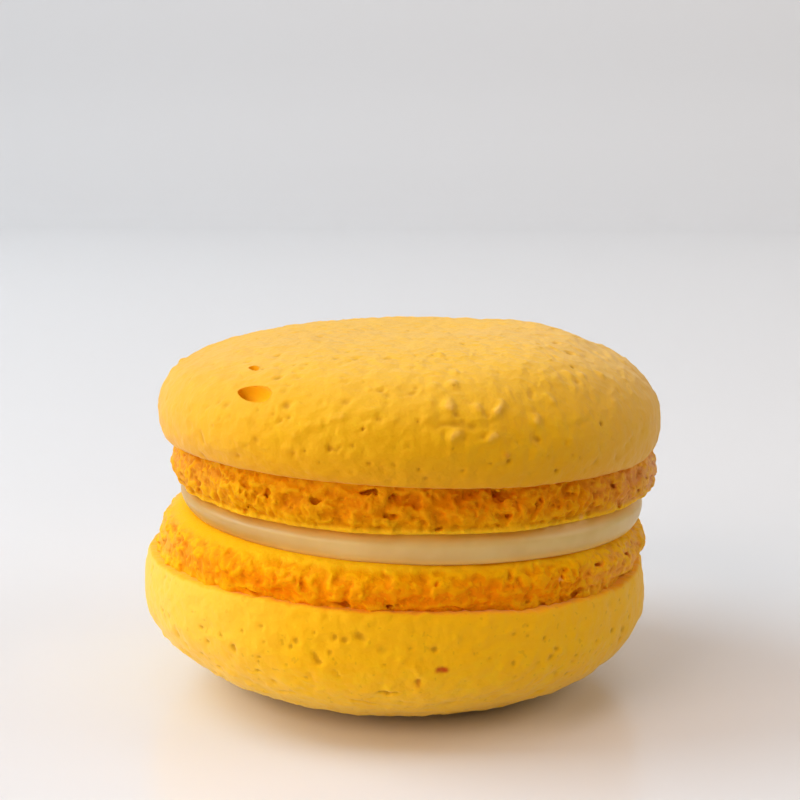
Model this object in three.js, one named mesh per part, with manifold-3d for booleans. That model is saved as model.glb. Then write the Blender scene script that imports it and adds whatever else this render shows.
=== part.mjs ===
// A french macaron: two baked almond-meringue shells with a disc of white ganache pressed between them.
// Each shell is one baked piece, a smooth domed cap standing on a ragged foot. Both are made as they were
// baked, foot down, and the lower one is then turned over.
// Millimetres, +Z up. The origin is on the table, under the middle of the macaron, and -Y is its front.
import * as THREE from "three";
import { ImprovedNoise } from "three/addons/math/ImprovedNoise.js";
import { mergeVertices } from "three/addons/utils/BufferGeometryUtils.js";
import Module from "manifold-3d";

const wasm = await Module();
wasm.setup();
const noise = new ImprovedNoise();
const { degToRad, lerp, smoothstep } = THREE.MathUtils;

// ---- driving dimensions: millimetres, and degrees for angles ----

// radius: widest ring of the cap. lip: the cap's lower rim. dome: crown above the widest ring. tuck: widest
// ring above the lip. shoulder and crown: powers of the dome's curve. peak: rise of the low step on the crown.
// slant: how much the crown rises to the right, in degrees. foot: height of the foot. base, belly, neck: the
// foot's radius where it was baked flat, how far it swells between, and where it meets the cap. sideways: how
// far the foot sits to the right of the cap.
const UPPER = {
  radius: 23.0,
  lip: 22.2,
  dome: 7.7,
  tuck: 2.1,
  shoulder: 4.0,
  crown: 2.07,
  peak: 0.3,
  slant: 1.6,
  foot: 3.8,
  base: 20.9,
  belly: 0.9,
  neck: 21.4,
  sideways: 0.45,
  seed: 3,
};
const LOWER = {
  radius: 23.3,
  lip: 22.75,
  dome: 8.45,
  tuck: 4.2,
  shoulder: 3.65,
  crown: 1.63,
  peak: 0,
  slant: -0.7,
  foot: 3.6,
  base: 20.8,
  belly: 1.3,
  neck: 21.7,
  sideways: 0.25,
  seed: 11,
};

// The ganache: radius against the shells, and how far its edge swells.
const FILLING = { radius: 20.9, swell: 0.35 };
const SHELLS_APART = 2.45; // between the two feet, on the axis of the ganache
const GAP = 0.25; // left between the ganache and each shell

// Where the pieces sit: +x is to the right, and a lean lowers the right-hand side. The lower shell's foot is
// this high above the table, and the ganache and the upper shell sit to the right of the lower shell's axis.
const LOWER_SEAT = { x: -0.3, height: 16.0, lean: 1.6 };
const FILLING_OFFSET = 1.0;
const UPPER_OFFSET = 0.75;
const UPPER_LEAN = 1.0;

// Unevenness of the outline and the crown.
const LOBES = [
  { count: 2, swell: 0.12, turn: 25 },
  { count: 3, swell: 0.14, turn: 70 },
  { count: 5, swell: 0.06, turn: 10 },
];
const DIMPLING = { swell: 0.16, wavelength: 4.2 };
// The settled peak of piped batter: a low round step on the crown, with a soft edge.
const PEAK = { radius: 15.5, edge: 2.4 };

// Crags of the foot: rounded lumps about this far apart, creased between, with a finer grain on them. The
// baked edge is ragged: it lifts off the tray in places.
const CRAGS = { spacing: 2.1, depth: 1.1, middle: 0.7, grain: 0.25, grainSpacing: 0.9, lift: 0.6 };
const FRILL = { count: 3, swell: 0.2, turn: -10 }; // the foot's own slow waves
const FOOT_RIM = { from: 3, to: 1 }; // crags start and are full this far inside the base's edge
const FOOT_INTO_CAP = 0.9; // the foot runs on this far into the cap, and is as much narrower there

// Burst air bubbles in the upper cap: place on the plan, size across, front to back and deep.
const BURST_BUBBLES = [
  { x: -13.0, y: -15.9, width: 2.8, length: 2.4, depth: 1.1 },
  { x: -13.45, y: -11.75, width: 1.1, length: 1.0, depth: 0.5 },
];

// Steps of the meshes.
const CAP_STEPS = { around: 96, along: 18 };
const FOOT_STEPS = { around: 164, along: 8 };
const FILLING_STEPS = { around: 84, along: 5 };
const BUBBLE_STEPS = { around: 14, along: 8 };
const OUTLINE_SAMPLES = 60;

// ---- solids ----

function solidOf(geometry) {
  const bare = geometry.clone();
  bare.deleteAttribute("normal");
  bare.deleteAttribute("uv");
  const merged = mergeVertices(bare);
  return new wasm.Manifold(
    new wasm.Mesh({
      numProp: 3,
      vertProperties: new Float32Array(merged.attributes.position.array),
      triVerts: new Uint32Array(merged.index.array),
    }),
  );
}

function geometryOf(solid) {
  const { vertProperties, triVerts } = solid.getMesh();
  const geometry = new THREE.BufferGeometry();
  geometry.setAttribute("position", new THREE.BufferAttribute(vertProperties, 3));
  geometry.setIndex(new THREE.BufferAttribute(triVerts, 1));
  geometry.computeVertexNormals();
  return geometry;
}

// Turns an outline of (radius, height) points about +Z. It runs from the bottom of the axis to the top.
function turned(outline, steps) {
  return new THREE.LatheGeometry(outline, steps).rotateX(Math.PI / 2);
}

// Moves each vertex by what shift(place, normal) returns.
function sculpt(geometry, shift) {
  const { position, normal } = geometry.attributes;
  const place = new THREE.Vector3();
  const facing = new THREE.Vector3();
  for (let i = 0; i < position.count; i++) {
    place.fromBufferAttribute(position, i);
    facing.fromBufferAttribute(normal, i);
    place.add(shift(place, facing));
    position.setXYZ(i, ...place);
  }
  return geometry;
}

const evenly = (points, steps) => new THREE.SplineCurve(points).getSpacedPoints(steps);

// ---- relief ----

const NEIGHBOURS = [-1, 0, 1];

const bearing = (place) => Math.atan2(place.y, place.x);
const wave = ({ count, swell, turn }, angle) => swell * Math.cos(count * (angle - degToRad(turn)));

function unevenOutline(angle, seed) {
  return LOBES.reduce((sum, lobe) => sum + wave(lobe, angle + seed), 0);
}

function broadDimples(place, seed) {
  const p = place.clone().divideScalar(DIMPLING.wavelength);
  return DIMPLING.swell * noise.noise(p.x + seed, p.y - seed, p.z + 0.5 * seed);
}

// Rounded cells: 0 in a crease between lumps, 1 on top of a lump. Each cell of a lattice holds one lump, at
// a random place in it, and the nearest of a cell's own and its neighbours' lumps counts.
function lumps(place, spacing, seed) {
  const p = place.clone().divideScalar(spacing);
  const home = p.clone().floor();
  const lump = new THREE.Vector3();
  let nearest = 1;
  for (const dx of NEIGHBOURS) {
    for (const dy of NEIGHBOURS) {
      for (const dz of NEIGHBOURS) {
        const cell = new THREE.Vector3(dx, dy, dz).add(home);
        lump.set(hash(cell, seed), hash(cell, seed + 1), hash(cell, seed + 2)).add(cell);
        nearest = Math.min(nearest, lump.distanceTo(p));
      }
    }
  }
  return Math.sqrt(1 - nearest ** 2);
}

// A repeatable number from 0 to 1 for a cell of the lattice.
function hash(cell, salt) {
  const mixed = Math.sin(cell.x * 127.1 + cell.y * 311.7 + cell.z * 74.7 + salt * 53.3) * 43758.5453;
  return mixed - Math.floor(mixed);
}

// ---- the shells ----

// The cap: its flat underside, the rolled lip, the widest ring, and the dome up to the crown.
function capOutline(shell) {
  const widest = shell.foot + shell.tuck;
  const curve = [];
  for (let i = 0; i <= OUTLINE_SAMPLES; i++) {
    const turn = (i / OUTLINE_SAMPLES) * (Math.PI / 2);
    curve.push(
      new THREE.Vector2(
        lerp(shell.lip, shell.radius, Math.sin(turn)),
        widest - shell.tuck * Math.cos(turn),
      ),
    );
  }
  for (let i = 1; i <= OUTLINE_SAMPLES; i++) {
    const turn = (i / OUTLINE_SAMPLES) * (Math.PI / 2);
    curve.push(
      new THREE.Vector2(
        shell.radius * Math.max(Math.cos(turn), 0) ** (2 / shell.shoulder),
        widest + shell.dome * Math.sin(turn) ** (2 / shell.crown),
      ),
    );
  }
  const spaced = evenly(curve, CAP_STEPS.along);
  spaced.at(-1).x = 0;
  return [new THREE.Vector2(0, shell.foot), ...spaced];
}

function cap(shell) {
  const crown = shell.foot + shell.tuck + shell.dome;
  return sculpt(turned(capOutline(shell), CAP_STEPS.around), (place, facing) => {
    const radius = Math.hypot(place.x, place.y);
    const outer = radius / shell.radius;
    const shift = new THREE.Vector3(place.x, place.y, 0);
    shift.setLength(outer * unevenOutline(bearing(place), shell.seed));
    const outsideStep = smoothstep(radius, PEAK.radius - PEAK.edge / 2, PEAK.radius + PEAK.edge / 2);
    const nearCrown = smoothstep(place.z, crown - shell.dome / 3, crown);
    shift.z += (place.x * Math.tan(degToRad(shell.slant)) - shell.peak * outsideStep) * nearCrown;
    return shift.addScaledVector(facing, place.z > shell.foot ? broadDimples(place, shell.seed) : 0);
  });
}

// The foot: a low drum whose side swells between its baked base and the neck under the cap.
function footOutline(shell) {
  const side = [];
  for (let i = 0; i <= OUTLINE_SAMPLES; i++) {
    const share = i / OUTLINE_SAMPLES;
    side.push(
      new THREE.Vector2(
        lerp(shell.base, shell.neck, share) + shell.belly * Math.sin(Math.PI * share ** 0.8),
        share * shell.foot,
      ),
    );
  }
  const top = shell.foot + FOOT_INTO_CAP;
  return [
    new THREE.Vector2(0, 0),
    ...evenly(side, FOOT_STEPS.along),
    new THREE.Vector2(shell.neck - FOOT_INTO_CAP, top),
    new THREE.Vector2(0, top),
  ];
}

function foot(shell) {
  return sculpt(turned(footOutline(shell), FOOT_STEPS.around), (place) => {
    const angle = bearing(place);
    const radius = Math.hypot(place.x, place.y);
    const side = smoothstep(radius, shell.base - FOOT_RIM.from, shell.base - FOOT_RIM.to);
    const lump = lumps(place, CRAGS.spacing, shell.seed);
    const grain = noise.noise(...place.clone().divideScalar(CRAGS.grainSpacing));
    const crags = CRAGS.depth * (lump - CRAGS.middle) + CRAGS.grain * grain;
    const slow = wave(FRILL, angle + shell.seed) + unevenOutline(angle, shell.seed);
    const shift = new THREE.Vector3(place.x, place.y, 0).setLength(side * (crags + slow));
    const nearTray = 1 - smoothstep(place.z, 0, shell.foot / 2);
    shift.z += side * nearTray * CRAGS.lift * (1 - lump);
    shift.x += shell.sideways;
    return shift;
  });
}

function burstBubble({ x, y, width, length, depth }, shell) {
  const share = Math.hypot(x, y) / shell.radius;
  const surface = shell.dome * (1 - share ** shell.shoulder) ** (1 / shell.crown);
  const height = shell.foot + shell.tuck + surface;
  const slope = new THREE.Vector3(x, y, 0).normalize().multiplyScalar(share ** 3).setZ(1).normalize();
  const turn = new THREE.Quaternion().setFromUnitVectors(new THREE.Vector3(0, 0, 1), slope);
  return new THREE.SphereGeometry(1, BUBBLE_STEPS.around, BUBBLE_STEPS.along)
    .scale(width / 2, length / 2, depth)
    .applyQuaternion(turn)
    .translate(x, y, height);
}

const bakedShell = (shell) => solidOf(cap(shell)).add(solidOf(foot(shell)));

// ---- the filling ----

// A disc standing on z = 0, its edge swollen by the shells' weight. It is a wedge, thicker on the right,
// because the upper shell leans less than the lower one.
function filling({ radius, swell }) {
  const thickness = SHELLS_APART - 2 * GAP;
  const edge = [];
  for (let i = 0; i <= FILLING_STEPS.along; i++) {
    const share = i / FILLING_STEPS.along;
    edge.push(new THREE.Vector2(radius + swell * Math.sin(Math.PI * share), share * thickness));
  }
  const outline = [new THREE.Vector2(0, 0), ...edge, new THREE.Vector2(0, thickness)];
  const wedge = Math.tan(degToRad(LOWER_SEAT.lean - UPPER_LEAN));
  return sculpt(
    turned(outline, FILLING_STEPS.around),
    (place) => new THREE.Vector3(0, 0, (place.z / thickness) * place.x * wedge),
  );
}

// ---- the macaron ----

const SHELL_FINISH = { color: 0xf0b440, roughness: 0.8, metalness: 0 };
const GANACHE_FINISH = { color: 0xe8d3a4, roughness: 0.45, metalness: 0 };

function piece(name, geometry, finish) {
  const mesh = new THREE.Mesh(geometry, new THREE.MeshStandardMaterial(finish));
  mesh.name = name;
  return mesh;
}

// The flat spot on which the turned-over shell rests: all of it below the table is cut away.
function cutByTable(mesh) {
  const room = 4 * LOWER.radius;
  const table = new THREE.BoxGeometry(room, room, room)
    .translate(0, 0, -room / 2)
    .applyMatrix4(mesh.matrixWorld.clone().invert());
  mesh.geometry = geometryOf(solidOf(mesh.geometry).subtract(solidOf(table)));
}

const upperBubbles = BURST_BUBBLES.map((bubble) => solidOf(burstBubble(bubble, UPPER)));
const upperSolid = upperBubbles.reduce((shell, bubble) => shell.subtract(bubble), bakedShell(UPPER));
const upperShell = piece("upper_shell", geometryOf(upperSolid), SHELL_FINISH);
upperShell.position.set(UPPER_OFFSET, 0, SHELLS_APART);
upperShell.rotation.y = degToRad(UPPER_LEAN - LOWER_SEAT.lean);

const ganache = piece("filling", filling(FILLING), GANACHE_FINISH);
ganache.position.set(FILLING_OFFSET, 0, GAP);

const lowerShell = piece("lower_shell", geometryOf(bakedShell(LOWER)), SHELL_FINISH);
lowerShell.rotation.x = Math.PI;

// All three sit on the plane of the lower shell's foot.
const seat = new THREE.Group();
seat.position.set(LOWER_SEAT.x, 0, LOWER_SEAT.height);
seat.rotation.y = degToRad(LOWER_SEAT.lean);
seat.add(lowerShell, ganache, upperShell);

const macaron = new THREE.Group();
macaron.add(seat);
macaron.updateMatrixWorld(true);
cutByTable(lowerShell);

export default macaron;
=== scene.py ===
import math

import bpy
import numpy as np
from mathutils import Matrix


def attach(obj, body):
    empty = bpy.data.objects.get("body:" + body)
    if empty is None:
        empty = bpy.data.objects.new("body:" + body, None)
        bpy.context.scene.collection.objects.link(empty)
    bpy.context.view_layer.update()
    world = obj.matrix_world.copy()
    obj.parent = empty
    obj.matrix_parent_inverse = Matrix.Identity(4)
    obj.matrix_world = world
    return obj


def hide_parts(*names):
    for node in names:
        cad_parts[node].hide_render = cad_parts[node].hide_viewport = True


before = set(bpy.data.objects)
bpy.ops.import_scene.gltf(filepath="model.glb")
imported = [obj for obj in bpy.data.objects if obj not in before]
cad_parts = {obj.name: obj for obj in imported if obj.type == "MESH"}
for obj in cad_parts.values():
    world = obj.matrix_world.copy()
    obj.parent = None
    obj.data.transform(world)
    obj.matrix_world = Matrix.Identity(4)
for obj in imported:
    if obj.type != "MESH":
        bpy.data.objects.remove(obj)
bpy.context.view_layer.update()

import openvdb
from mathutils import Matrix, Vector

MM = 0.001  # the pieces are worked out in millimetres, and made in metres


# ==== The lower cap ===================================================================================
# The smooth top of the first almond-meringue shell. The batter is piped on a tray, left until it has a dry
# skin, and baked. The skin lifts in one piece, with small dimples and burst bubbles. It is then turned over
# to lie on its crown, where its own weight leaves a small flat spot.

PROFILE_STEPS = 400  # in each of the two curves of a cap's profile


class Shell:
    """One shell as it lay on its tray: the foot's base on z = 0, and the crown up."""

    def __init__(self, seat, **sizes):
        self.seat = seat  # places the baked shell in the macaron
        self.__dict__.update(sizes)
        self.widest = self.foot + self.tuck
        self.top = self.widest + self.dome
        turn = np.linspace(0, math.pi / 2, PROFILE_STEPS)
        lip = [
            self.lip + (self.radius - self.lip) * np.sin(turn),
            self.widest - self.tuck * np.cos(turn),
        ]
        dome = [
            self.radius * np.clip(np.cos(turn), 0, 1) ** (2 / self.shoulder),
            self.widest + self.dome * np.sin(turn) ** (2 / self.crown),
        ]
        # The cap's profile from the lip to the crown, as (radius, height), and the distance along it.
        self.line = np.concatenate([np.stack(lip, axis=1), np.stack(dome, axis=1)[1:]])
        self.reach = travelled(self.line)

    def turn_of(self, points):
        """The angle to the right of the front, in radians."""
        x, y = points[:2] if isinstance(points, tuple) else points.T[:2]
        return np.arctan2(x, -y) if self.front < 0 else np.arctan2(x, y)

    def way_out(self, turn):
        """The direction from the middle to the side, so many degrees to the right of the front."""
        bearing = math.radians(self.front * (1 - turn / 90))
        return np.array([math.cos(bearing), math.sin(bearing)])

    def on_skin(self, turn, reach):
        """The place so many degrees to the right of the front, and so far up the skin from the lip."""
        radius, height = (np.interp(reach, self.reach, self.line[:, i]) for i in (0, 1))
        return np.append(radius * self.way_out(turn), height)

    def by_turn(self, points, turns, values):
        """A value that changes around the shell, given at some turns in degrees."""
        return np.interp(np.degrees(self.turn_of(points)), turns, values, period=360)


def travelled(line):
    return np.concatenate([[0], np.cumsum(np.linalg.norm(np.diff(line, axis=0), axis=1))])


def turned(degrees, axis):
    return Matrix.Rotation(math.radians(degrees), 4, axis)


# The lower shell leans to the right by this many degrees, with the base of its foot this high.
LEAN = 1.6
lower_seat = Matrix.Translation((-0.3, 0, 16.0)) @ turned(LEAN, "Y")

LOWER = Shell(
    lower_seat @ turned(180, "X"),
    front=90,  # the bearing that faces the front, in degrees
    radius=23.2,  # the widest ring of the cap
    lip=22.6,  # its lower rim
    lift_turns=(-170, -95, -65, -30, 0, 15, 28, 60, 90, 150),  # at these turns, in degrees from the front,
    lift=(0.2, 0.6, 0.55, 0.15, 0.0, 0.1, 0.42, 0.38, 0.1, 0.1),  # the lip lies this far up the foot,
    ragged=0.2,  # and it is uneven by this much
    dome=8.45,  # from the widest ring to the crown
    tuck=4.2,  # from the lip to the widest ring
    shoulder=3.65,  # powers of the dome's curve
    crown=1.63,
    slant=-0.7,  # degrees that the crown rises to the right
    foot=3.6,  # height of the foot
    side_turns=(-150, -105, -65, -25, 60, 100),  # at these turns are
    base=(20.8, 20.7, 20.8, 20.8, 20.8, 20.6),  # the foot's radius on the tray,
    belly=(1.2, 0.55, 0.6, 1.3, 1.3, 1.2),  # how far it swells above that,
    neck=(21.9, 22.4, 22.3, 21.9, 21.9, 22.0),  # and its radius under the cap
    skirt=0.0,  # a thin ledge that the batter left on the tray
    sideways=0.25,  # how far it sits to the right of the cap
    softer=0.8,  # its dents have this share of the depth that they are given
    painted_sheen_turns=(-130, -95, -55, -20, 40, 75, 110),  # at these turns the skin is painted a paler yellow as painted sheen,
    painted_sheen=(0, 0.9, 0.6, 0, 0, 0.25, 0),  # by these shares
    wrinkled_turns=(0,),
    wrinkled=(0.3,),  # share of the full height of its wrinkles
    seed=11,
)

# The outline is not quite round: lobes of so many waves, so high, turned by so many degrees.
LOBES = [(2, 0.12, 25), (3, 0.14, 70), (5, 0.06, 10)]


def waves(lobes, bearing):
    return sum(swell * np.cos(count * (bearing - math.radians(turn))) for count, swell, turn in lobes)


class Grain:
    """Smooth noise of about -0.7 to 0.7, that rises and falls over about one wavelength."""

    def __init__(self, seed):
        draw = np.random.default_rng(seed)
        self.order = draw.permutation(256)
        slopes = draw.normal(size=(256, 3))
        self.slopes = (slopes / np.linalg.norm(slopes, axis=1, keepdims=True)).astype(np.float32)

    def __call__(self, points, wavelength):
        p = points / np.asarray(wavelength, np.float32)
        low = np.floor(p)
        part = p - low
        ease = part**3 * (part * (part * 6 - 15) + 10)
        total = np.zeros(len(p), np.float32)
        for corner in np.ndindex(2, 2, 2):
            index = picked(self.order, low.astype(np.int32) + corner)
            share = np.prod(np.where(corner, ease, 1 - ease), axis=1)
            total += share * np.einsum("ij,ij->i", self.slopes[index], part - np.float32(corner))
        return total


def picked(order, cells):
    """A number from 0 to 255 for each cell of a grid, the same each time."""
    index = order[cells[:, 0] & 255]
    index = order[(index + cells[:, 1]) & 255]
    return order[(index + cells[:, 2]) & 255]


class Scatter:
    """Spots scattered through space, one at a random place in each cell of a grid."""

    def __init__(self, seed):
        draw = np.random.default_rng(seed)
        self.order = draw.permutation(256)
        self.place = draw.random((256, 3)).astype(np.float32)
        self.size = draw.random(256).astype(np.float32)

    def __call__(self, points, spacing, height):
        """The greatest height(distance in mm, size from 0 to 1) over the spots around each point."""
        spacing = np.asarray(spacing, np.float32) * np.ones(3, np.float32)
        p = (points / spacing).astype(np.float32)
        low = np.floor(p).astype(np.int32)
        best = np.full(len(p), -np.inf, np.float32)
        for step in np.ndindex(3, 3, 3):
            cell = low + (np.array(step, np.int32) - 1)
            index = picked(self.order, cell)
            gap = np.linalg.norm((cell + self.place[index] - p) * spacing, axis=1)
            np.maximum(best, height(gap, self.size[index]), out=best)
        return best


def round_bump(distance, radius):
    """1 at the middle of a round spot, falling smoothly to 0 at its edge."""
    return np.clip(1 - (distance / radius) ** 2, 0, 1) ** 2


def from_stroke(points, first, second):
    """The distance of each point from the straight line between two places."""
    first, second = np.asarray(first), np.asarray(second)
    along = second - first
    length = max(float(along @ along), 1e-9)
    share = np.clip((points - first) @ along / length, 0, 1)
    return np.linalg.norm(points - first - share[:, None] * along, axis=1)


def smoothstep(value, low, high):
    share = np.clip((value - low) / (high - low), 0, 1)
    return share * share * (3 - 2 * share)


def shifts(grain, points, by, wavelength, places):
    """Small moves of the points along the three axes, each from the noise at a place of its own."""
    return by * np.stack([grain(points + place, wavelength) for place in places], axis=1)


def spots(seed, points, kind):
    """A loose grid of round spots, from 0 to 1. The larger ones are also higher."""
    least, most = kind["radius"]
    return Scatter(seed)(
        points, kind["spacing"], lambda gap, size: size * round_bump(gap, least + (most - least) * size)
    )


CAP_COLUMNS = 640
CAP_ROWS = 178
HALVED_WITHIN = (11.0, 5.5)  # rings smaller than this have half as many columns
FRONT_CROWD = 0.22  # the columns stand closer together at the front, by this share
WALL_CROWD = 0.14  # and the rows closer at the wall than on the crown
UNDERSIDE_RADII = (0.45, 0.9, 0.96)  # rings under the cap, as shares of its lip
UNDERSIDE_RISE = 0.5  # the underside is this much higher in the middle, inside the foot


def new_mesh(name, points, face_sets, attributes=None):
    """A mesh object of points in millimetres and arrays of faces with the same number of corners."""
    corners = np.concatenate([faces.ravel() for faces in face_sets])
    sizes = np.concatenate([np.full(len(faces), faces.shape[1]) for faces in face_sets])
    mesh = bpy.data.meshes.new(name)
    mesh.vertices.add(len(points))
    mesh.vertices.foreach_set("co", (points * MM).astype(np.float32).ravel())
    mesh.loops.add(len(corners))
    mesh.loops.foreach_set("vertex_index", corners.astype(np.int32))
    mesh.polygons.add(len(sizes))
    mesh.polygons.foreach_set("loop_start", (np.cumsum(sizes) - sizes).astype(np.int32))
    mesh.polygons.foreach_set("use_smooth", np.ones(len(sizes), bool))
    for key, values in (attributes or {}).items():
        mesh.attributes.new(key, "FLOAT", "POINT").data.foreach_set("value", values.astype(np.float32))
    mesh.update(calc_edges=True)
    mesh.validate()
    piece = bpy.data.objects.new(name, mesh)
    bpy.context.scene.collection.objects.link(piece)
    return piece


def ring_faces(counts):
    """Faces of a closed form of rings of points, from the lowest up, with a pole after them at the bottom and
    the top. A ring has as many points as the one below it, or half as many."""
    rings = np.split(np.arange(sum(counts)), np.cumsum(counts)[:-1])
    sides = []
    for low, high in zip(rings[:-1], rings[1:]):
        onward, above = np.roll(low, -1), np.roll(high, -1)
        if len(low) == len(high):
            sides.append(np.stack([low, onward, above, high], axis=-1))
        else:
            corner, middle, after = low[::2], low[1::2], np.roll(low[::2], -1)
            for triangle in ([corner, middle, high], [middle, above, high], [middle, after, above]):
                sides.append(np.stack(triangle, axis=-1))
    pole = np.full(counts[0], sum(counts))
    sides.append(np.stack([pole, np.roll(rings[0], -1), rings[0]], axis=-1))
    pole = np.full(counts[-1], sum(counts) + 1)
    sides.append(np.stack([pole, rings[-1], np.roll(rings[-1], -1)], axis=-1))
    return sides


def placed(points, seat):
    matrix = np.array(seat)
    return points @ matrix[:3, :3].T + matrix[:3, 3]


def plain_cap(shell):
    """The smooth round cap: its points, the way each one faces, its distance from the lip, and the number of
    points in each of its rings."""
    even = np.linspace(0, 1, CAP_ROWS + 1)[:-1]
    reach = shell.reach[-1] * ((1 - WALL_CROWD) * even + WALL_CROWD * even**2)
    wall = np.stack([np.interp(reach, shell.reach, shell.line[:, i]) for i in (0, 1)], axis=1)
    under = np.array([(share * shell.lip, shell.foot + UNDERSIDE_RISE) for share in UNDERSIDE_RADII])
    under[-1, 1] = shell.foot
    line = np.concatenate([under, wall])
    reach = np.concatenate([np.zeros(len(under)), reach])
    along = np.gradient(line, axis=0)
    across = np.stack([along[:, 1], -along[:, 0]], axis=1)
    across /= np.linalg.norm(across, axis=1, keepdims=True)
    turn = np.linspace(-math.pi, math.pi, CAP_COLUMNS, endpoint=False)
    bearing = turn - FRONT_CROWD * np.sin(turn) + math.radians(shell.front)
    spin = np.stack([np.cos(bearing), np.sin(bearing)], axis=-1)

    steps = 2 ** sum((line[:, 0] < within) & (line[:, 1] > shell.widest) for within in HALVED_WITHIN)

    def spun(profile):
        rings = zip(profile, steps)
        return np.concatenate([np.insert(out * spin[::step], 2, up, axis=1) for (out, up), step in rings])

    points = np.concatenate([spun(line), [(0, 0, shell.foot + UNDERSIDE_RISE), (0, 0, shell.top)]])
    facing = np.concatenate([spun(across), [(0, 0, -1), (0, 0, 1)]])
    counts = CAP_COLUMNS // steps
    reach = np.concatenate([np.repeat(reach, counts), [0, shell.reach[-1]]])
    return points, facing, reach, counts


# The uneven skin: slow swells and finer pebbling, as (wavelength, height).
SWELLS = [(7.0, 0.16), (3.4, 0.14)]
PEBBLES = [((1.7, 2.6, 1.7), 0.15), ((0.9, 1.4, 0.9), 0.12)]
# Loose grids of small dimples, bumps and pores, with the least and the greatest radius. Only a share of the
# grid's cells have a pore.
DIMPLES = {"spacing": 1.5, "radius": (0.20, 0.60), "depth": 0.18}
PIMPLES = {"spacing": 1.4, "radius": (0.25, 0.65), "height": 0.17}
PORES = {"spacing": 1.8, "radius": (0.20, 0.36), "depth": 0.14, "share": 0.45}
# Their outlines are bent by noise: how far, its wavelength, and where it is read. Pores and dents follow a
# share of that bend, and dents a finer one too.
BENDS = [(0.55, 1.5, (10, 30, 50)), (0.2, 0.7, (20, 40, 60))]
PORE_BEND = 0.4
DENT_BEND = 0.45
FINE_BEND = (0.16, 0.5, (25, 45, 65))
# Fine wrinkles, above this reach: thin ridges where a noise of this wavelength passes through zero.
WRINKLES = {"wavelength": (2.3, 2.3, 1.2), "thin": 0.05, "height": 0.075, "above": (5.5, 8.5)}
LIP_UNEVEN = ((1.3, 1.0), (0.6, 0.7))  # the lip goes up and down over these wavelengths, by these shares
LIP_BAND = 1.2  # and the skin follows it this far up
LIP_ROUNDING = 0.35  # the relief fades out this near the lip
DENT_SPREAD = 1.15  # a dent fades out at this many times its radius
DENT_RIM = {"height": 0.12, "at": 1.2, "half": 0.35}  # around it the skin stands up, by shares of its size
DARK_DENT = 0.2  # dents and creases this deep get the full painted shade of a hollow
DARK_CREASE = 0.3


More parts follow.
